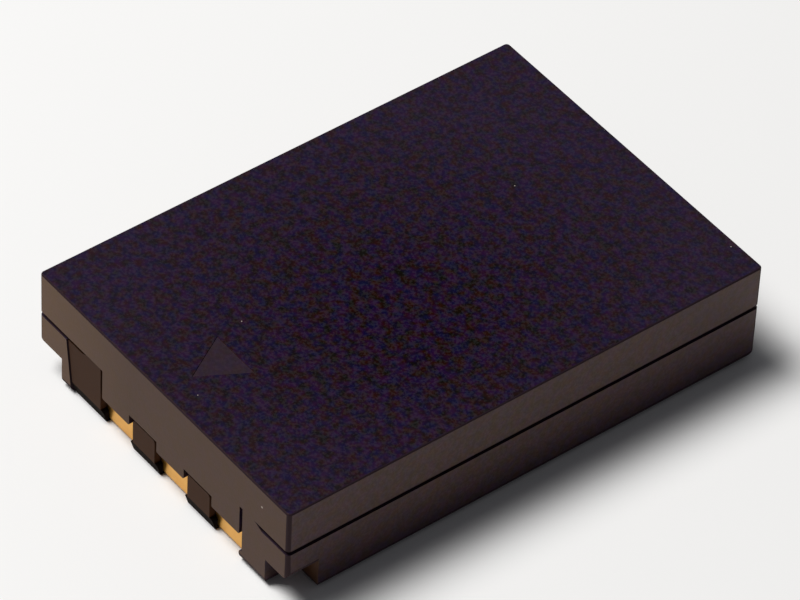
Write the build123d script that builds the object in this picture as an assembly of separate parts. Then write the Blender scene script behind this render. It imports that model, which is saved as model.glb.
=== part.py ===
from build123d import *
import math
import os

# A slim rechargeable pack for a compact camera, in millimetres.
# X runs across, Y along with the contact end at -Y, and Z up from the underside.

# Case envelope
case_length = 46.0
case_width = 32.0
case_thickness = 9.8
parting_height = 5.8
corner_radius = 0.35
top_edge_radius = 0.15
bottom_edge_radius = 0.8

# Case walls
side_wall = 0.9
end_wall = 0.9
floor_wall = 0.9
roof_wall = 0.9
pocket_radius = 0.4

# Welded joint between the half shells
groove_height = 0.42
groove_depth = 0.25
groove_stop = 1.5
groove_taper = 0.9
rim_land = 0.3
lip_height = 0.8
lip_clearance = 0.05

# Corner notches at the contact end
left_notch_width = 2.95
right_notch_width = 2.7
notch_depth = 3.0
notch_height = 2.8
notch_edge_radius = 0.6
notch_rim_radius = 0.6

# Arrow mark sunk in the top, pointing at the contact end
arrow_width = 4.8
arrow_length = 4.15
arrow_setback = 2.8
arrow_depth = 0.06

# Shallow field sunk in the underside
underside_field_depth = 0.15
underside_field_margin = 2.2
underside_field_setback = 6.4
underside_field_radius = 1.0

# Contact row
contact_count = 3
contact_pitch = 7.08
row_offset = 1.16
slot_width = 4.26
contact_sheet = 0.2
contact_bend = 0.1
contact_recess = 0.68
contact_lift = 0.15
contact_foot = 3.2
contact_tail_height = 2.5
contact_side_gap = 0.12

# Sloped foot of the comb, with ledges that narrow each slot and hold down the contact's edges
foot_height = 1.2
foot_setback = 0.35
ledge_width = 0.36
ledge_radius = 0.3

# Terminal block, a comb that carries the contacts
block_recess = 0.1
block_backing = 0.8
block_end_bar = 0.7
block_clearance = 0.06
panel_width = 3.6
panel_lean = 7.0
panel_seam = 0.14
rib_height = 3.62
rib_corner = 0.25

# Tongue of the upper case, with a tooth reaching down into each slot
tongue_clearance = 0.1
tongue_seam = 0.28
tooth_height = 2.8
tooth_gap = 0.375
tooth_corner = 0.15

# Flat cell
cell_side_gap = 0.25
cell_end_gap = 0.3
cell_corner = 2.4
cell_edge_radius = 0.6
lid_rim = 0.5
lid_seam_width = 0.15
lid_seam_depth = 0.1
plug_radius = 0.9
plug_height = 0.25
plug_inset = 4.35
tape_thickness = 0.25
tape_margin = 4.5

# Rivet terminal of the cell
gasket_width = 5.0
gasket_height = 3.4
gasket_thickness = 0.3
terminal_width = 3.6
terminal_height = 2.4
terminal_thickness = 0.8
terminal_corner = 0.5

# Paper over the lid
paper_thickness = 0.2
paper_margin = 1.2
paper_window_gap = 0.4

# Circuit board
board_thickness = 0.8
board_side_gap = 0.3
board_top_gap = 0.3
board_corner = 0.4
parts_room = 2.6

# Parts on the board
chip_length = 2.9
chip_width = 1.6
chip_thickness = 1.1
chip_lead_count = 3
chip_lead_pitch = 0.95
switch_length = 3.0
switch_width = 3.0
switch_thickness = 1.0
switch_lead_count = 4
switch_lead_pitch = 0.65
lead_width = 0.3
lead_reach = 0.6
lead_thickness = 0.15
body_lift = 0.1
small_part_length = 1.6
small_part_width = 0.8
resistor_thickness = 0.45
capacitor_thickness = 0.8
thermistor_thickness = 0.7
small_part_gap = 0.7
resistor_count = 2
capacitor_count = 2
part_gap = 0.8

# Nickel strips and thermal fuse
strip_thickness = 0.15
strip_width = 2.6
strip_bend = 0.3
strip_top_gap = 0.5
strip_leg = 3.4
positive_strip_inset = 5.05
fuse_length = 4.2
fuse_width = 2.8
fuse_corner = 0.3
fuse_gap = 0.6
fuse_overlap = 1.6

# How far a cut runs past the face it opens
cut_margin = 1.0

# Places that follow from the sizes above
front = -case_length / 2
back = case_length / 2
half_width = case_width / 2
pocket_half = half_width - side_wall
pocket_front = front + end_wall
pocket_back = back - end_wall
roof = case_thickness - roof_wall
lip_thickness = side_wall - groove_depth - rim_land

first_slot = row_offset - contact_pitch * (contact_count - 1) / 2
slot_centres = [first_slot + contact_pitch * i for i in range(contact_count)]
row_left = slot_centres[0] - slot_width / 2
row_right = slot_centres[-1] + slot_width / 2
tongue_thickness = contact_recess - tongue_clearance

block_face = front + block_recess
contact_face = front + contact_recess
seat_y = contact_face + contact_sheet
seat_z = contact_lift + contact_sheet
tail_seat = contact_tail_height - contact_sheet
block_back = seat_y + block_backing
foot_top = seat_z + block_backing
foot_end = front + contact_foot + block_end_bar
panel_slope = math.tan(math.radians(panel_lean))
block_left = row_left - panel_width
panel_top = parting_height - block_clearance
block_right = row_right - block_clearance

board_face = block_back
board_back = board_face + board_thickness
board_half = half_width - max(left_notch_width, right_notch_width) - side_wall - board_side_gap
board_top = roof - board_top_gap

notch_back = front + notch_depth + side_wall
cell_front = max(board_back + parts_room, notch_back + cell_end_gap, foot_end + cell_end_gap)
cell_back = pocket_back - cell_end_gap
cell_bottom = floor_wall + tape_thickness
cell_top = roof - tape_thickness
cell_middle = (cell_bottom + cell_top) / 2
cell_half = pocket_half - cell_side_gap
plug_x = cell_half - plug_inset

terminal_face = cell_front - gasket_thickness - terminal_thickness
paper_face = cell_front - paper_thickness
fuse_left = gasket_width / 2 + fuse_gap
fuse_right = fuse_left + fuse_length
strip_top = roof - strip_top_gap
strip_low = strip_top - strip_leg
positive_strip_x = positive_strip_inset - cell_half

parts_height = (foot_top + board_top) / 2
small_part_pitch = small_part_width + small_part_gap
switch_x = positive_strip_x + strip_width / 2 + part_gap + switch_length / 2
chip_x = switch_x + switch_length / 2 + part_gap + chip_length / 2
capacitor_x = chip_x + chip_length / 2 + part_gap + small_part_width / 2
thermistor_x = capacitor_x + capacitor_count * small_part_pitch
resistor_x = fuse_right + part_gap + small_part_width / 2


def rect(u0, u1, v0, v1):
    """A rectangle between two corners of its plane."""
    return Pos((u0 + u1) / 2, (v0 + v1) / 2) * Rectangle(u1 - u0, v1 - v0)


def outline(*points):
    """A face inside straight lines from point to point."""
    return make_face(Polyline(*points, close=True))


def round_at(face, radius, *points):
    """The face with its corners at the given points rounded."""
    corners = [face.vertices().sort_by_distance((*p, 0))[0] for p in points]
    return fillet(corners, radius)


def along_x(profile, x0, x1):
    """A Y-Z profile carried from x0 to x1."""
    return Pos(x0, 0, 0) * extrude(Plane.YZ * profile, x1 - x0)


def along_y(profile, y0, y1):
    """An X-Z profile carried from y0 to y1."""
    return Pos(0, y1, 0) * extrude(Plane.XZ * profile, y1 - y0)


def upright(profile, z0, z1):
    """An X-Y profile carried from z0 to z1."""
    return Pos(0, 0, z0) * extrude(profile, z1 - z0)


def pocket(inset, z0, z1):
    """The hollow of the case between two heights, its side and back walls thinned by the inset."""
    plan = rect(-pocket_half - inset, pocket_half + inset, pocket_front, pocket_back + inset)
    return upright(fillet(plan.vertices(), pocket_radius), z0, z1)


def notch(side, width):
    """The cut for one corner notch, leaving its lower edges and its outer rim rounded."""
    wall = half_width - width
    edge = notch_edge_radius
    rim = notch_rim_radius
    outer = half_width + cut_margin
    across = outline((wall - edge, -cut_margin), (outer, -cut_margin), (outer, notch_height),
                     (wall, notch_height), (wall, edge), (wall - edge, edge))
    across -= Pos(wall - edge, edge) * Circle(edge)
    rim_middle = Pos(half_width - rim, notch_height + rim)
    across += rect(half_width - rim, outer, notch_height, notch_height + rim) - rim_middle * Circle(rim)
    rear = front + notch_depth
    ahead = front - cut_margin
    along = outline((ahead, -cut_margin), (rear + edge, -cut_margin), (rear + edge, edge), (rear, edge),
                    (rear, notch_height), (ahead, notch_height))
    along -= Pos(rear + edge, edge) * Circle(edge)
    cut = along_y(across, ahead, rear) + along_x(along, wall, outer)
    return cut if side > 0 else mirror(cut, Plane.YZ)


def case_joint():
    """The shadow groove round the parting line, which runs out on both sides of the tongue."""
    ring = RectangleRounded(case_width + 2 * cut_margin, case_length + 2 * cut_margin, corner_radius)
    ring -= RectangleRounded(case_width - 2 * groove_depth, case_length - 2 * groove_depth, corner_radius)
    low = parting_height - groove_height
    left = row_left - groove_stop
    right = row_right + groove_stop
    plain = outline((left - groove_taper, low), (right + groove_taper, low), (right, parting_height),
                    (left, parting_height))
    return upright(ring, low, parting_height) - along_y(plain, front - cut_margin, pocket_front)


def ledge(centre, side):
    """The front view of the ledge at the foot of one side of a slot."""
    wall = centre + side * slot_width / 2
    inner = wall - side * ledge_width
    face = rect(min(wall, inner), max(wall, inner), 0, foot_height)
    return round_at(face, ledge_radius, (inner, foot_height))


def block_opening():
    """The gap in the lower case that the terminal block fills, all but the last slot's outer ledge."""
    left = block_left - panel_seam
    lean = panel_slope * case_thickness
    front_view = outline((left, 0), (row_right, 0), (row_right, case_thickness),
                         (left - lean, case_thickness))
    floor_view = rect(left, row_right, contact_face, foot_end + block_clearance)
    cut = along_y(front_view - ledge(slot_centres[-1], 1), front - cut_margin, contact_face)
    cut += along_y(front_view, contact_face, pocket_front)
    return cut + upright(floor_view, -cut_margin, floor_wall + cut_margin)


def make_lower_case():
    body = upright(RectangleRounded(case_width, case_length, corner_radius), 0, parting_height)
    body = fillet(body.faces().sort_by(Axis.Z)[0].edges(), bottom_edge_radius)
    hollow = pocket(0, floor_wall, parting_height)
    corner_top = notch_height + floor_wall
    left_wall = left_notch_width + side_wall - half_width
    right_wall = half_width - right_notch_width - side_wall
    hollow -= upright(rect(-half_width, left_wall, front, notch_back), 0, corner_top)
    hollow -= upright(rect(right_wall, half_width, front, notch_back), 0, corner_top)
    body -= hollow
    body -= notch(-1, left_notch_width)
    body -= notch(1, right_notch_width)
    field = rect(-half_width + underside_field_margin, half_width - underside_field_margin,
                 front + underside_field_setback, back - underside_field_margin)
    body -= upright(fillet(field.vertices(), underside_field_radius), 0, underside_field_depth)
    body -= case_joint()
    body -= block_opening()
    lip = pocket(lip_thickness, parting_height, parting_height + lip_height)
    lip -= pocket(0, parting_height, parting_height + lip_height)
    lip -= upright(rect(-half_width, half_width, front, notch_back), 0, case_thickness)
    return body + lip


def tongue():
    """The apron of the upper case over the contacts, toothed along its lower edge."""
    seam = rib_height + tongue_seam
    root = parting_height + roof_wall
    face = rect(row_left + tooth_gap, row_right - tooth_gap, seam, root)
    half = slot_width / 2 - tooth_gap
    for centre in slot_centres:
        left = centre - half
        right = centre + half
        tooth = rect(left, right, tooth_height, root)
        face += round_at(tooth, tooth_corner, (left, tooth_height), (right, tooth_height))
    return along_y(face, front, front + tongue_thickness)


def make_upper_case():
    plan = RectangleRounded(case_width, case_length, corner_radius)
    body = upright(plan, parting_height, case_thickness)
    body = fillet(body.faces().sort_by(Axis.Z)[-1].edges(), top_edge_radius)
    body -= pocket(0, parting_height, roof)
    rebate_top = parting_height + lip_height + lip_clearance
    rebate = pocket(lip_thickness + lip_clearance, parting_height, rebate_top)
    rebate -= upright(rect(-half_width, half_width, front, front + notch_depth), 0, case_thickness)
    body -= rebate
    tip = front + arrow_setback
    arrow = outline((0, tip), (arrow_width / 2, tip + arrow_length), (-arrow_width / 2, tip + arrow_length))
    body -= upright(arrow, case_thickness - arrow_depth, case_thickness)
    return body + tongue()


def make_terminal_block():
    lean = panel_slope * panel_top
    panel = outline((block_left, 0), (row_left, 0), (row_left, panel_top), (block_left - lean, panel_top))
    comb = panel + ledge(slot_centres[0], -1)
    for slot, next_slot in zip(slot_centres, slot_centres[1:]):
        left = slot + slot_width / 2
        right = next_slot - slot_width / 2
        rib = rect(left, right, 0, rib_height)
        comb += round_at(rib, rib_corner, (left, rib_height), (right, rib_height))
        comb += ledge(slot, 1) + ledge(next_slot, -1)
    wall = panel + rect(row_left, block_right, 0, rib_height)
    elbow = outline((block_face + foot_setback, 0), (foot_end, 0), (foot_end, foot_top),
                    (block_back, foot_top), (block_back, panel_top), (block_face, panel_top),
                    (block_face, foot_height))
    body = along_y(comb, front, contact_face) + along_y(wall, contact_face, foot_end)
    body &= along_x(elbow, block_left - lean, block_right)
    body -= upright(rect(block_left - lean, block_left, pocket_front, foot_end), 0, panel_top)
    body -= case_joint()
    channel_end = front + contact_foot
    channel = outline((contact_face, contact_lift), (channel_end, contact_lift), (channel_end, seat_z),
                      (seat_y, seat_z), (seat_y, tail_seat), (foot_end, tail_seat),
                      (foot_end, contact_tail_height), (contact_face, contact_tail_height))
    channel = round_at(channel, contact_bend, (seat_y, seat_z), (seat_y, tail_seat))
    window = rect(front, channel_end, -cut_margin, contact_lift)
    half = slot_width / 2
    for centre in slot_centres:
        body -= along_x(channel, centre - half, centre + half)
        body -= along_x(window, centre - half + ledge_width, centre + half - ledge_width)
    return body


def make_contact(centre):
    """A sheet-metal contact, folded round the front of the terminal block."""
    end = front + contact_foot
    outer = contact_bend + contact_sheet
    sheet = outline((contact_face, contact_lift), (end, contact_lift), (end, seat_z), (seat_y, seat_z),
                    (seat_y, tail_seat), (block_back, tail_seat), (block_back, contact_tail_height),
                    (contact_face, contact_tail_height))
    sheet = round_at(sheet, contact_bend, (seat_y, seat_z), (seat_y, tail_seat))
    sheet = round_at(sheet, outer, (contact_face, contact_lift), (contact_face, contact_tail_height))
    half = slot_width / 2 - contact_side_gap
    return along_x(sheet, centre - half, centre + half)


def make_board():
    face = rect(-board_half, board_half, foot_top, board_top)
    return along_y(fillet(face.vertices(), board_corner), board_face, board_back)


def leaded_part(x, length, width, thickness, leads, pitch):
    """A moulded chip on the back of the board, with a row of flat leads above and below."""
    z = parts_height
    body = rect(x - length / 2, x + length / 2, z - width / 2, z + width / 2)
    part = along_y(body, board_back + body_lift, board_back + thickness)
    part = chamfer(part.faces().sort_by(Axis.Y)[-1].edges(), body_lift)
    for i in range(leads):
        lead_x = x + pitch * (i - (leads - 1) / 2)
        lead = rect(lead_x - lead_width / 2, lead_x + lead_width / 2,
                    z - width / 2 - lead_reach, z + width / 2 + lead_reach)
        part += along_y(lead, board_back, board_back + body_lift + lead_thickness)
    return part


def small_parts(x, thickness, count):
    """A row of small chip parts on the back of the board."""
    row = []
    for i in range(count):
        part_x = x + small_part_pitch * i
        face = rect(part_x - small_part_width / 2, part_x + small_part_width / 2,
                    parts_height - small_part_length / 2, parts_height + small_part_length / 2)
        row.append(along_y(face, board_back, board_back + thickness))
    return Compound(children=row) if count > 1 else row[0]


def make_cell():
    section = Pos(0, cell_middle) * RectangleRounded(2 * cell_half, cell_top - cell_bottom, cell_corner)
    can = along_y(section, cell_front, cell_back)
    can = fillet(can.faces().sort_by(Axis.Y)[-1].edges(), cell_edge_radius)
    seam = offset(section, -lid_rim) - offset(section, -lid_rim - lid_seam_width)
    can -= along_y(seam, cell_front, cell_front + lid_seam_depth)
    plug = Pos(plug_x, cell_middle) * Circle(plug_radius)
    return can + along_y(plug, cell_front - plug_height, cell_front)


def make_cell_gasket():
    face = Pos(0, cell_middle) * RectangleRounded(gasket_width, gasket_height, terminal_corner)
    return along_y(face, cell_front - gasket_thickness, cell_front)


def make_cell_terminal():
    face = Pos(0, cell_middle) * RectangleRounded(terminal_width, terminal_height, terminal_corner)
    return along_y(face, terminal_face, cell_front - gasket_thickness)


def make_paper():
    half = cell_half - paper_margin
    low = cell_bottom + paper_margin
    high = cell_top - paper_margin
    sheet = fillet(rect(-half, half, low, high).vertices(), paper_margin)
    window = paper_window_gap
    sheet -= rect(-gasket_width / 2 - window, gasket_width / 2 + window,
                  cell_middle - gasket_height / 2 - window, cell_middle + gasket_height / 2 + window)
    weld = strip_width / 2 + window
    sheet -= rect(positive_strip_x - weld, positive_strip_x + weld, strip_low - window, high)
    sheet -= Pos(plug_x, cell_middle) * Circle(plug_radius + window)
    return along_y(sheet, paper_face, cell_front)


def folded_strip(x0, x1, far):
    """A nickel strip folded over from the board to the face at the far side."""
    near = board_back
    near_inner = near + strip_thickness
    far_inner = far - strip_thickness
    under = strip_top - strip_thickness
    arch = outline((near, strip_low), (near_inner, strip_low), (near_inner, under), (far_inner, under),
                   (far_inner, strip_low), (far, strip_low), (far, strip_top), (near, strip_top))
    arch = round_at(arch, strip_bend, (near_inner, under), (far_inner, under))
    arch = round_at(arch, strip_bend + strip_thickness, (near, strip_top), (far, strip_top))
    return along_x(arch, x0, x1)


def make_positive_strip():
    half = strip_width / 2
    return folded_strip(positive_strip_x - half, positive_strip_x + half, cell_front)


def make_negative_strip():
    half = terminal_height / 2
    face = rect(-terminal_width / 2, fuse_left + fuse_overlap, cell_middle - half, cell_middle + half)
    return along_y(face, terminal_face - strip_thickness, terminal_face)


def make_thermal_fuse():
    half = fuse_width / 2
    face = rect(fuse_left, fuse_right, cell_middle - half, cell_middle + half)
    return along_y(fillet(face.vertices(), fuse_corner), terminal_face, paper_face)


def make_fuse_strip():
    return folded_strip(fuse_right - fuse_overlap, fuse_right, terminal_face)


def make_tape(z0, z1):
    half = cell_half - tape_margin
    face = rect(-half, half, cell_front + tape_margin, cell_back - tape_margin)
    return upright(face, z0, z1)


parts = {
    "upper_case": make_upper_case(),
    "lower_case": make_lower_case(),
    "terminal_block": make_terminal_block(),
    "circuit_board": make_board(),
    "protection_chip": leaded_part(chip_x, chip_length, chip_width, chip_thickness,
                                   chip_lead_count, chip_lead_pitch),
    "switch_chip": leaded_part(switch_x, switch_length, switch_width, switch_thickness,
                               switch_lead_count, switch_lead_pitch),
    "thermistor": small_parts(thermistor_x, thermistor_thickness, 1),
    "chip_resistors": small_parts(resistor_x, resistor_thickness, resistor_count),
    "chip_capacitors": small_parts(capacitor_x, capacitor_thickness, capacitor_count),
    "cell": make_cell(),
    "cell_gasket": make_cell_gasket(),
    "cell_terminal": make_cell_terminal(),
    "cap_insulator": make_paper(),
    "positive_strip": make_positive_strip(),
    "negative_strip": make_negative_strip(),
    "thermal_fuse": make_thermal_fuse(),
    "fuse_strip": make_fuse_strip(),
    "upper_tape": make_tape(cell_top, roof),
    "lower_tape": make_tape(floor_wall, cell_bottom),
}
for name, centre in zip(("contact_negative", "contact_sense", "contact_positive"), slot_centres):
    parts[name] = make_contact(centre)

os.makedirs("parts", exist_ok=True)
for name, part in parts.items():
    export_step(part, f"parts/{name}.step")
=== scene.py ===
import math

import bpy
from mathutils import Matrix, Vector


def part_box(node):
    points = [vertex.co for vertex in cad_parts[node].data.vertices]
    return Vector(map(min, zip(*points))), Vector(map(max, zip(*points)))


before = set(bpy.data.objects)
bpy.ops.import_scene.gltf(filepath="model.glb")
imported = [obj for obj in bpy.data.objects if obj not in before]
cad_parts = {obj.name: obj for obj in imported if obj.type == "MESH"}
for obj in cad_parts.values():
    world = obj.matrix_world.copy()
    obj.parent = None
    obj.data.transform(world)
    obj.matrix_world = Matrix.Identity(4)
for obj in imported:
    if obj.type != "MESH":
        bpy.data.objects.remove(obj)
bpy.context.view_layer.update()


# Cell
# A flat lithium-ion cell in a deep-drawn aluminium can, with a lid laser-welded into its contact end.
# The can is the positive pole, and thin tape holds it between the two half shells.

MM = 0.001


def linear(hex_colour):
    """A colour written as sRGB hex, as linear red, green, blue and alpha."""
    channels = [int(hex_colour[i:i + 2], 16) / 255 for i in (1, 3, 5)]
    return [c / 12.92 if c <= 0.04045 else ((c + 0.055) / 1.055) ** 2.4 for c in channels] + [1.0]


def feed(node, inputs):
    """Gives each named or numbered input of a node its value, or a link from the socket that feeds it."""
    for key, value in inputs.items():
        if isinstance(value, bpy.types.NodeSocket):
            node.id_data.links.new(value, node.inputs[key])
        else:
            node.inputs[key].default_value = value


# Sockets that share a name go by number. A mix of colours has the second one's share at input 0, the colours
# at 6 and 7 and its result at output 2. A mix of plain numbers has inputs 0, 2 and 3 and output 0.
def add(tree, kind, inputs=None, **settings):
    """Adds a node with its settings and links, and returns its outputs."""
    node = tree.nodes.new("ShaderNode" + kind)
    for name, value in settings.items():
        setattr(node, name, value)
    feed(node, inputs or {})
    return node.outputs


def start_material(name):
    """A new material, its node tree and its shader."""
    made = bpy.data.materials.new(name)
    made.use_nodes = True
    return made, made.node_tree, made.node_tree.nodes["Principled BSDF"]


def dress(finish, *names):
    """Puts a finish on CAD nodes."""
    for name in names:
        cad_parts[name].material_slots[0].material = finish


# Drawn aluminium: bright but not mirror-like, with fine lines along the draw.
# Real draw lines are about 0.03 mm wide, so these are drawn four times coarser to show.
draw_line = 0.12 * MM
draw_run = 14 * MM
draw_depth = 0.004 * MM
drawn_aluminium, tree, shader = start_material("drawn_aluminium")
place = add(tree, "TexCoord")["Object"]
stretched = add(tree, "Mapping", {"Vector": place, "Scale": (1 / draw_line, 1 / draw_run, 1 / draw_line)})[0]
lines = add(tree, "TexNoise", {"Vector": stretched, "Scale": 1.0, "Detail": 3.0})[0]
tone = add(tree, "Mix", {0: lines, 6: linear("#B4B6B8"), 7: linear("#D6D7D8")}, data_type="RGBA")[2]
rough = add(tree, "MapRange", {"Value": lines, "To Min": 0.28, "To Max": 0.46})[0]
relief = add(tree, "Bump", {"Height": lines, "Strength": 0.2, "Distance": draw_depth})[0]
feed(shader, {"Base Color": tone, "Roughness": rough, "Normal": relief, "Metallic": 1.0})
dress(drawn_aluminium, "cell")


# Rivet terminal
# The negative pole in the lid: a nickel-plated rivet head, kept off the can by a moulded gasket.
# Nickel strip is welded to it, and the same strip is used for every link in the pack.

# Sealing plastic: milky and smooth, with faint flow clouds.
gasket_cloud = 0.8 * MM
sealing_plastic, tree, shader = start_material("natural_sealing_plastic")
place = add(tree, "TexCoord")["Object"]
clouds = add(tree, "TexNoise", {"Vector": place, "Scale": 1 / gasket_cloud, "Detail": 2.0})[0]
tone = add(tree, "Mix", {0: clouds, 6: linear("#DAD6CA"), 7: linear("#E8E5DC")}, data_type="RGBA")[2]
feed(shader, {"Base Color": tone, "Roughness": 0.42, "IOR": 1.49})
dress(sealing_plastic, "cell_gasket")

# Rolled nickel: a warm grey metal with rolling lines and dull round spots where it was welded.
# Real rolling lines are about 0.02 mm wide, so these are drawn three times coarser to show.
roll_line = 0.06 * MM
roll_run = 1.2 * MM
weld_spacing = 1.1 * MM
weld_core = 0.198 * MM
weld_rim = 0.33 * MM
weld_depth = 0.01 * MM
rolled_nickel, tree, shader = start_material("rolled_nickel")
place = add(tree, "TexCoord")["Object"]
stretched = add(tree, "Mapping", {"Vector": place, "Scale": (1 / roll_line, 1 / roll_line, 1 / roll_run)})[0]
lines = add(tree, "TexNoise", {"Vector": stretched, "Scale": 1.0, "Detail": 2.0})[0]
welds = add(tree, "TexVoronoi", {"Vector": place, "Scale": 1 / weld_spacing, "Randomness": 0.2})[0]
spot = add(tree, "MapRange", {"Value": welds, "From Min": weld_core / weld_spacing,
                              "From Max": weld_rim / weld_spacing, "To Min": 1.0, "To Max": 0.0})[0]
tone = add(tree, "Mix", {0: spot, 6: linear("#C6BFB4"), 7: linear("#8E867A")}, data_type="RGBA")[2]
rough = add(tree, "MapRange", {"Value": lines, "To Min": 0.24, "To Max": 0.44})[0]
height = add(tree, "Math", {0: lines, 1: spot}, operation="SUBTRACT")[0]
relief = add(tree, "Bump", {"Height": height, "Strength": 0.3, "Distance": weld_depth})[0]
feed(shader, {"Base Color": tone, "Roughness": rough, "Normal": relief, "Metallic": 1.0})
dress(rolled_nickel, "cell_terminal", "positive_strip", "negative_strip", "fuse_strip")


# Lid insulator
# A die-cut sheet of vulcanised fibre that lies on the lid, open at the rivet and at the weld.
# It keeps the strips and the parts on the board off the can, which is live.

# Vulcanised fibre: dull tan card with a felted grain.
fibre_width = 0.25 * MM
fibre_depth = 0.02 * MM
fibre_paper, tree, shader = start_material("vulcanised_fibre")
place = add(tree, "TexCoord")["Object"]
felt = add(tree, "TexNoise", {"Vector": place, "Scale": 1 / fibre_width, "Detail": 4.0, "Distortion": 1.5})[0]
tone = add(tree, "Mix", {0: felt, 6: linear("#9C9070"), 7: linear("#BDB390")}, data_type="RGBA")[2]
relief = add(tree, "Bump", {"Height": felt, "Strength": 0.4, "Distance": fibre_depth})[0]
feed(shader, {"Base Color": tone, "Roughness": 0.85, "Normal": relief, "IOR": 1.5})
dress(fibre_paper, "cap_insulator")


# Thermal fuse
# A flat cut-out in the negative lead, moulded in dark plastic between two nickel strips.
# It breaks the circuit when the cell gets too hot, so it sits close to the lid.

# Moulded fuse plastic: grey-black with a slight pebble from its mould.
pebble_size = 0.3 * MM
pebble_depth = 0.02 * MM
fuse_plastic, tree, shader = start_material("moulded_fuse_plastic")
place = add(tree, "TexCoord")["Object"]
pebble = add(tree, "TexNoise", {"Vector": place, "Scale": 1 / pebble_size, "Detail": 2.0})[0]
tone = add(tree, "Mix", {0: pebble, 6: linear("#35363A"), 7: linear("#44454A")}, data_type="RGBA")[2]
relief = add(tree, "Bump", {"Height": pebble, "Strength": 0.3, "Distance": pebble_depth})[0]
feed(shader, {"Base Color": tone, "Roughness": 0.55, "Normal": relief, "IOR": 1.5})
dress(fuse_plastic, "thermal_fuse")


# Circuit board
# A glass-epoxy board that stands against the back of the terminal block, close behind the contacts.
# The protection circuit is soldered on its inner face: two chips, a thermistor and a few small parts.

board_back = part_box("circuit_board")[1].y

# Lacquered laminate: green solder lacquer, paler over the copper, with the glass weave just showing.
# A wave texture holds 20 / tau waves in one unit of its scale.
weave_spacing = 0.283 * MM
wave_scale = math.tau / 20 / weave_spacing
copper_spacing = 2.4 * MM
copper_half = 1.008 * MM
copper_rim = 1.104 * MM
copper_depth = 0.02 * MM
lacquered_laminate, tree, shader = start_material("lacquered_glass_laminate")
place = add(tree, "TexCoord")["Object"]
warp = add(tree, "TexWave", {"Vector": place, "Scale": wave_scale}, bands_direction="X")[1]
weft = add(tree, "TexWave", {"Vector": place, "Scale": wave_scale}, bands_direction="Z")[1]
weave = add(tree, "Math", {0: warp, 1: weft}, operation="MULTIPLY")[0]
islands = add(tree, "TexVoronoi", {"Vector": place, "Scale": 1 / copper_spacing}, distance="CHEBYCHEV")[0]
copper = add(tree, "MapRange", {"Value": islands, "From Min": copper_half / copper_spacing,
                                "From Max": copper_rim / copper_spacing, "To Min": 1.0, "To Max": 0.0})[0]
tone = add(tree, "Mix", {0: copper, 6: linear("#1B5A3A"), 7: linear("#2F7A4C")}, data_type="RGBA")[2]
height = add(tree, "Math", {0: weave, 1: copper}, operation="ADD")[0]
relief = add(tree, "Bump", {"Height": height, "Strength": 0.3, "Distance": copper_depth})[0]
feed(shader, {"Base Color": tone, "Roughness": 0.3, "Normal": relief, "IOR": 1.52})
dress(lacquered_laminate, "circuit_board")

# Moulded epoxy: matt black chip bodies, with bright tinned leads next to the board.
# The real filler is finer than the grain here, which is drawn coarse enough to show.
lead_height = 0.25 * MM
epoxy_grain = 0.1 * MM
epoxy_depth = 0.01 * MM
moulded_epoxy, tree, shader = start_material("moulded_chip_epoxy")
place = add(tree, "TexCoord")["Object"]
depth = add(tree, "SeparateXYZ", {0: place})["Y"]
tinned = add(tree, "Math", {0: depth, 1: board_back + lead_height}, operation="LESS_THAN")[0]
grain = add(tree, "TexNoise", {"Vector": place, "Scale": 1 / epoxy_grain, "Detail": 2.0})[0]
body = add(tree, "Mix", {0: grain, 6: linear("#222226"), 7: linear("#303036")}, data_type="RGBA")[2]
tone = add(tree, "Mix", {0: tinned, 6: body, 7: linear("#C3C4C6")}, data_type="RGBA")[2]
rough = add(tree, "MapRange", {"Value": tinned, "To Min": 0.6, "To Max": 0.3})[0]
relief = add(tree, "Bump", {"Height": grain, "Strength": 0.2, "Distance": epoxy_depth})[0]
feed(shader, {"Base Color": tone, "Metallic": tinned, "Roughness": rough, "Normal": relief})
dress(moulded_epoxy, "protection_chip", "switch_chip")

# Fired ceramic: tan blocks of the small parts, each with a tinned cap at both ends.
# Its real grain is far too fine to see, so it is drawn coarse enough to show.
part_low, part_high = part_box("thermistor")
part_middle = (part_low.z + part_high.z) / 2
cap_length = 0.35 * MM
cap_start = (part_high.z - part_low.z) / 2 - cap_length
ceramic_grain = 0.08 * MM
fired_ceramic, tree, shader = start_material("fired_ceramic")
place = add(tree, "TexCoord")["Object"]
rise = add(tree, "SeparateXYZ", {0: place})["Z"]
off_middle = add(tree, "Math", {0: rise, 1: part_middle}, operation="SUBTRACT")[0]
off_middle = add(tree, "Math", {0: off_middle}, operation="ABSOLUTE")[0]
tinned = add(tree, "Math", {0: off_middle, 1: cap_start}, operation="GREATER_THAN")[0]
grain = add(tree, "TexNoise", {"Vector": place, "Scale": 1 / ceramic_grain, "Detail": 2.0})[0]
body = add(tree, "Mix", {0: grain, 6: linear("#94774F"), 7: linear("#B49468")}, data_type="RGBA")[2]
tone = add(tree, "Mix", {0: tinned, 6: body, 7: linear("#C9C8C4")}, data_type="RGBA")[2]
rough = add(tree, "MapRange", {"Value": tinned, "To Min": 0.5, "To Max": 0.28})[0]
feed(shader, {"Base Color": tone, "Metallic": tinned, "Roughness": rough})
dress(fired_ceramic, "thermistor", "chip_resistors", "chip_capacitors")


# Contacts
# Three folded strips of copper alloy, plated with nickel and gold and tucked into the slots of the block.
# The camera's springs have wiped their faces up and down.

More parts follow.
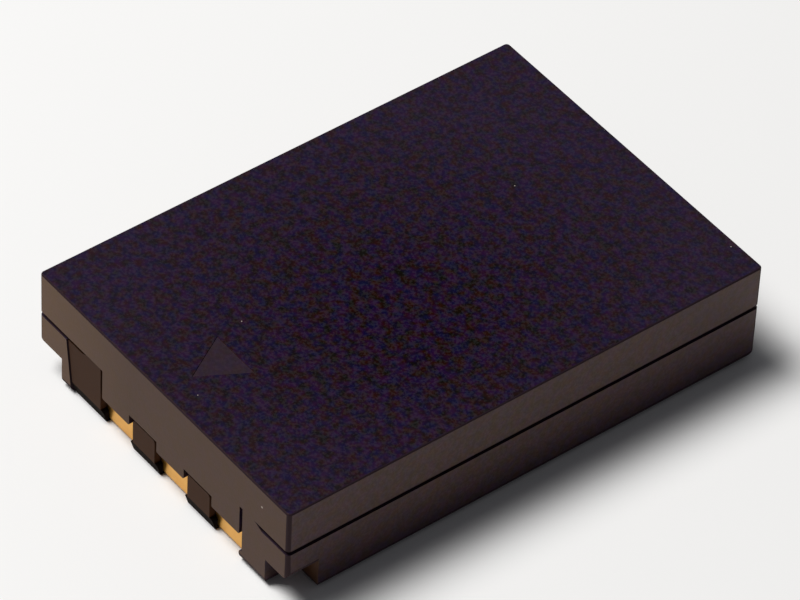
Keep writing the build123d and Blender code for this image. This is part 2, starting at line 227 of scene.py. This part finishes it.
# Gold plate: a satin yellow metal, with fine upright wipe marks and paler rubbed patches.
# Real wipe marks are about 0.03 mm wide, so these are drawn three times coarser to show.
wipe_width = 0.09 * MM
wipe_run = 1.6 * MM
wipe_depth = 0.006 * MM
rub_size = 1.3 * MM
gold_plate, tree, shader = start_material("satin_gold_plate")
place = add(tree, "TexCoord")["Object"]
stretched = add(tree, "Mapping", {"Vector": place, "Scale": (1 / wipe_width, 1 / wipe_run, 1 / wipe_run)})[0]
wipes = add(tree, "TexNoise", {"Vector": stretched, "Scale": 1.0, "Detail": 2.0})[0]
rubs = add(tree, "TexNoise", {"Vector": place, "Scale": 1 / rub_size, "Detail": 1.0})[0]
tone = add(tree, "Mix", {0: rubs, 6: linear("#CF943A"), 7: linear("#E2AE58")}, data_type="RGBA")[2]
rough = add(tree, "MapRange", {"Value": wipes, "To Min": 0.22, "To Max": 0.42})[0]
relief = add(tree, "Bump", {"Height": wipes, "Strength": 0.15, "Distance": wipe_depth})[0]
feed(shader, {"Base Color": tone, "Roughness": rough, "Normal": relief, "Metallic": 1.0})
dress(gold_plate, "contact_negative", "contact_sense", "contact_positive")


# Terminal block
# A black comb, moulded in glass-filled polyester, that carries the contacts and keeps them apart.
# It drops into the gap in the lower case, and its seam shows beside the left notch and on the ribs.

# Glass-filled polyester: brown-black and duller than the case, with a faint cloudy sheen from the filler.
# The sloped foot of each rib is painted black as painted shade, and it is at full roughness.
filler_cloud = 0.5 * MM
filler_depth = 0.01 * MM
foot_height = 1.2 * MM
foot_rough = 1.0
terminal_plastic, tree, shader = start_material("moulded_black_polyester")
place = add(tree, "TexCoord")["Object"]
clouds = add(tree, "TexNoise", {"Vector": place, "Scale": 1 / filler_cloud, "Detail": 3.0})[0]
rise = add(tree, "SeparateXYZ", {0: place})["Z"]
painted_shade_foot = add(tree, "Math", {0: rise, 1: foot_height}, operation="LESS_THAN")[0]
brown_and_painted_sheen = add(tree, "Mix", {0: clouds, 6: linear("#321C12"), 7: linear("#40281A")}, data_type="RGBA")[2]
tone = add(tree, "Mix", {0: painted_shade_foot, 6: brown_and_painted_sheen, 7: linear("#020104")}, data_type="RGBA")[2]
rough = add(tree, "MapRange", {"Value": clouds, "To Min": 0.62, "To Max": 0.76})[0]
rough = add(tree, "Mix", {0: painted_shade_foot, 2: rough, 3: foot_rough})[0]
relief = add(tree, "Bump", {"Height": clouds, "Strength": 0.1, "Distance": filler_depth})[0]
feed(shader, {"Base Color": tone, "Roughness": rough, "Normal": relief, "IOR": 1.55,
              "Specular IOR Level": 0.15, "Specular Tint": linear("#FFD0A0")})
dress(terminal_plastic, "terminal_block")


# Adhesive tapes
# Thin double-sided foam, cut from a roll and stuck between the cell and each half shell.
# It beds the cell, so that nothing rattles.

# Foam tape: off-white and dull, with a close cell structure.
foam_cell = 0.12 * MM
foam_depth = 0.02 * MM
foam_tape, tree, shader = start_material("double_sided_foam_tape")
place = add(tree, "TexCoord")["Object"]
cells = add(tree, "TexVoronoi", {"Vector": place, "Scale": 1 / foam_cell})[0]
tone = add(tree, "Mix", {0: cells, 6: linear("#DCDBD6"), 7: linear("#C4C3BE")}, data_type="RGBA")[2]
relief = add(tree, "Bump", {"Height": cells, "Strength": 0.4, "Distance": foam_depth})[0]
feed(shader, {"Base Color": tone, "Roughness": 0.9, "Normal": relief})
dress(foam_tape, "upper_tape", "lower_tape")


# Half shells
# Two injection mouldings of black polycarbonate, welded together at the shadow groove.
# Their tool was spark-eroded, which leaves a fine matt grain all over, except in the smooth arrow mark.

upper_low, upper_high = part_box("upper_case")
left_side = upper_low.x
contact_end = upper_low.y
top = upper_high.z

# Grained polycarbonate: near black with fine grey peaks and a soft violet cast that comes and goes.
# A real spark-eroded grain is about 0.05 mm, so it is drawn nearly five times coarser to show.
grain_size = 0.23 * MM
grain_depth = 0.016 * MM
peak_start, peak_full = 0.45, 0.60
cast_size = 0.75 * MM
cast_start, cast_full = 0.36, 0.64
case_plastic, tree, shader = start_material("spark_grained_polycarbonate")
place = add(tree, "TexCoord")["Object"]
grain = add(tree, "TexNoise", {"Vector": place, "Scale": 1 / grain_size, "Detail": 2.0, "Roughness": 0.6})[0]
peaks = add(tree, "MapRange", {"Value": grain, "From Min": peak_start, "From Max": peak_full})[0]
speckle = add(tree, "Mix", {0: peaks, 6: linear("#000000"), 7: linear("#1B1B1B")}, data_type="RGBA")[2]

# The cast maps red, green and blue one by one: inputs 7 and 8 are its range, 9 and 10 what it turns into.
patches = add(tree, "TexNoise", {"Vector": place, "Scale": 1 / cast_size, "Detail": 1.0})["Color"]
cast = add(tree, "MapRange", {"Vector": patches, 7: [cast_start] * 3, 8: [cast_full] * 3,
                              9: linear("#000000")[:3], 10: linear("#20062C")[:3]},
           data_type="FLOAT_VECTOR")["Vector"]
mottle = add(tree, "Mix", {0: 1.0, 6: cast, 7: speckle}, data_type="RGBA", blend_type="ADD")[2]

# The floor of the arrow is what lies flat and below the top, and it is a little paler.
# Here and below, the way that a face looks runs from -1 to 1 along each axis.
arrow_depth = 0.06 * MM
flat_limit = 0.99
arrow_mottle = 0.4
facing = add(tree, "SeparateXYZ", {0: add(tree, "NewGeometry")["True Normal"]})
where = add(tree, "SeparateXYZ", {0: place})
flat = add(tree, "Math", {0: facing["Z"], 1: flat_limit}, operation="GREATER_THAN")[0]
sunk = add(tree, "Math", {0: where["Z"], 1: top - arrow_depth / 2}, operation="LESS_THAN")[0]
arrow = add(tree, "Math", {0: flat, 1: sunk}, operation="MULTIPLY")[0]
smooth = add(tree, "Mix", {0: arrow_mottle, 6: linear("#35292F"), 7: mottle}, data_type="RGBA")[2]
tone = add(tree, "Mix", {0: arrow, 6: mottle, 7: smooth}, data_type="RGBA")[2]

# The case is paler the further it lies from a point near the middle of the top.
fade_middle = (5 * MM, -3 * MM, top)
fade_start, fade_full = 4 * MM, 24 * MM
fade_share = 0.20
reach = add(tree, "VectorMath", {0: place, 1: fade_middle}, operation="DISTANCE")["Value"]
fade = add(tree, "MapRange", {"Value": reach, "From Min": fade_start, "From Max": fade_full,
                              "To Max": fade_share})[0]
tone = add(tree, "Mix", {0: fade, 6: tone, 7: linear("#443A4C")}, data_type="RGBA")[2]

# The contact end is painted brown as a painted warm sheen, palest at its left corner as painted light.
end_limit = -0.7
painted_pale_width = 12 * MM
end_mottle = 0.25
end = add(tree, "Math", {0: facing["Y"], 1: end_limit}, operation="LESS_THAN")[0]
painted_pale = add(tree, "MapRange", {"Value": where["X"], "From Min": left_side, "From Max": left_side + painted_pale_width,
                              "To Min": 1.0, "To Max": 0.0})[0]
brown_and_painted_sheen = add(tree, "Mix", {0: painted_pale, 6: linear("#341A08"), 7: linear("#5A4028")}, data_type="RGBA")[2]
brown_and_painted_sheen = add(tree, "Mix", {0: end_mottle, 6: brown_and_painted_sheen, 7: mottle}, data_type="RGBA")[2]
tone = add(tree, "Mix", {0: end, 6: tone, 7: brown_and_painted_sheen}, data_type="RGBA")[2]

# The walls drag along the tool as it opens, so they are duller than the top, and the contact end is duller
# still. The rounded brims and corners are dullest, and they are painted dark as painted shade.
wall_limit = 0.95
brim_middle, brim_range = 0.5, 0.45
corner_limit = 0.08
wall_rough, end_rough, edge_rough = 0.48, 0.52, 0.80
slope = add(tree, "Math", {0: facing["Z"]}, operation="ABSOLUTE")[0]
wall = add(tree, "Math", {0: slope, 1: wall_limit}, operation="LESS_THAN")[0]
brim = add(tree, "Math", {0: slope, 1: brim_middle, 2: brim_range}, operation="COMPARE")[0]
turn = add(tree, "Math", {0: facing["X"], 1: facing["Y"]}, operation="MULTIPLY")[0]
turn = add(tree, "Math", {0: turn}, operation="ABSOLUTE")[0]
corner = add(tree, "Math", {0: turn, 1: corner_limit}, operation="GREATER_THAN")[0]
painted_shade_edge = add(tree, "Math", {0: brim, 1: corner}, operation="MAXIMUM")[0]
tone = add(tree, "Mix", {0: painted_shade_edge, 6: tone, 7: linear("#0E0C22")}, data_type="RGBA")[2]
rough = add(tree, "MapRange", {"Value": grain, "To Min": 0.16, "To Max": 0.22})[0]
rough = add(tree, "Mix", {0: wall, 2: rough, 3: wall_rough})[0]
rough = add(tree, "Mix", {0: end, 2: rough, 3: end_rough})[0]
rough = add(tree, "Mix", {0: painted_shade_edge, 2: rough, 3: edge_rough})[0]

# Specks of pale dust lie on the contact end and on the top, each with its place and its radius.
specks = [((12.72 * MM, contact_end, 8 * MM), 0.13 * MM), ((-2.63 * MM, -13.54 * MM, top), 0.07 * MM),
          ((-2.41 * MM, 12.97 * MM, top), 0.07 * MM), ((12.79 * MM, 22.41 * MM, top), 0.07 * MM),
          ((1.85 * MM, -20.99 * MM, top), 0.06 * MM)]
dust = 0.0
for middle, radius in specks:
    reach = add(tree, "VectorMath", {0: place, 1: middle}, operation="DISTANCE")["Value"]
    speck = add(tree, "MapRange", {"Value": reach, "From Max": radius, "To Min": 1.0, "To Max": 0.0})[0]
    dust = add(tree, "Math", {0: speck, 1: dust}, operation="MAXIMUM")[0]
tone = add(tree, "Mix", {0: dust, 6: tone, 7: linear("#C8BEB2")}, data_type="RGBA")[2]

# The grain stands out as fine relief everywhere but in the smooth arrow.
grained = add(tree, "Math", {0: 1.0, 1: arrow}, operation="SUBTRACT")[0]
height = add(tree, "Math", {0: grain, 1: grained}, operation="MULTIPLY")[0]
relief = add(tree, "Bump", {"Height": height, "Strength": 0.5, "Distance": grain_depth})[0]
feed(shader, {"Base Color": tone, "Roughness": rough, "Normal": relief, "IOR": 1.50,
              "Specular Tint": linear("#FFC080")})
dress(case_plastic, "lower_case", "upper_case")


# Studio
# A white paper table that runs off to the horizon, under one soft lamp, high up to the front left,
# so the shadow falls short and to the right. The room around is dim.

table_half = 3000 * MM
table_mesh = bpy.data.meshes.new("table")
corners = [(-table_half, -table_half, 0), (table_half, -table_half, 0), (table_half, table_half, 0),
           (-table_half, table_half, 0)]
table_mesh.from_pydata(corners, [], [(0, 1, 2, 3)])
table = bpy.data.objects.new("table", table_mesh)
bpy.context.scene.collection.objects.link(table)

# White table paper: dull and even, a little warm.
table_paper, tree, shader = start_material("white_table_paper")
feed(shader, {"Base Color": linear("#FDFCFA"), "Roughness": 0.9})
table_mesh.materials.append(table_paper)

room_grey = "#4C4D50"
studio = bpy.data.worlds.new("studio")
bpy.context.scene.world = studio
studio.use_nodes = True
feed(studio.node_tree.nodes["Background"], {"Color": linear(room_grey), "Strength": 1.0})

# The lamp is a square panel, turned to the pack.
aim = Vector((0, 0, 5 * MM))
towards_lamp = Vector((-0.35, -0.28, 0.894)).normalized()
lamp_distance = 1000 * MM
lamp_width = 450 * MM
lamp_watts = 10.1
lamp = bpy.data.lights.new("key", "AREA")
lamp.energy = lamp_watts
lamp.size = lamp_width
holder = bpy.data.objects.new("key", lamp)
bpy.context.scene.collection.objects.link(holder)
holder.location = aim + towards_lamp * lamp_distance
holder.rotation_mode = "QUATERNION"
holder.rotation_quaternion = towards_lamp.to_track_quat("Z", "Y")


# Camera
# A long lens about half a metre off, which looks down on the top, the contact end and the right side.
# Its place, tilt and focal length were solved from the pack's edges in the picture.

azimuth = math.radians(50.277)
elevation = math.radians(44.122)
roll = math.radians(2.982)
stand_off = 473.225 * MM
shift_right = -0.030 * MM
shift_up = 1.087 * MM
focal_pixels = 6081.943
picture_width = 800
sensor_width = 36.0

ground = math.cos(elevation)
away = Vector((math.sin(azimuth) * ground, -math.cos(azimuth) * ground, math.sin(elevation)))
level = Vector((0, 0, 1)).cross(away).normalized()
upward = away.cross(level)
right = math.cos(roll) * level + math.sin(roll) * upward
up = -math.sin(roll) * level + math.cos(roll) * upward
lens = bpy.data.cameras.new("camera")
lens.sensor_width = sensor_width
lens.lens = focal_pixels / picture_width * sensor_width
lens.clip_start = 10 * MM
camera = bpy.data.objects.new("camera", lens)
bpy.context.scene.collection.objects.link(camera)
eye = aim + away * stand_off + right * shift_right + up * shift_up
camera.matrix_world = Matrix.Translation(eye) @ Matrix((right, up, away)).transposed().to_4x4()
bpy.context.scene.camera = camera
bpy.context.scene.view_settings.view_transform = "Standard"
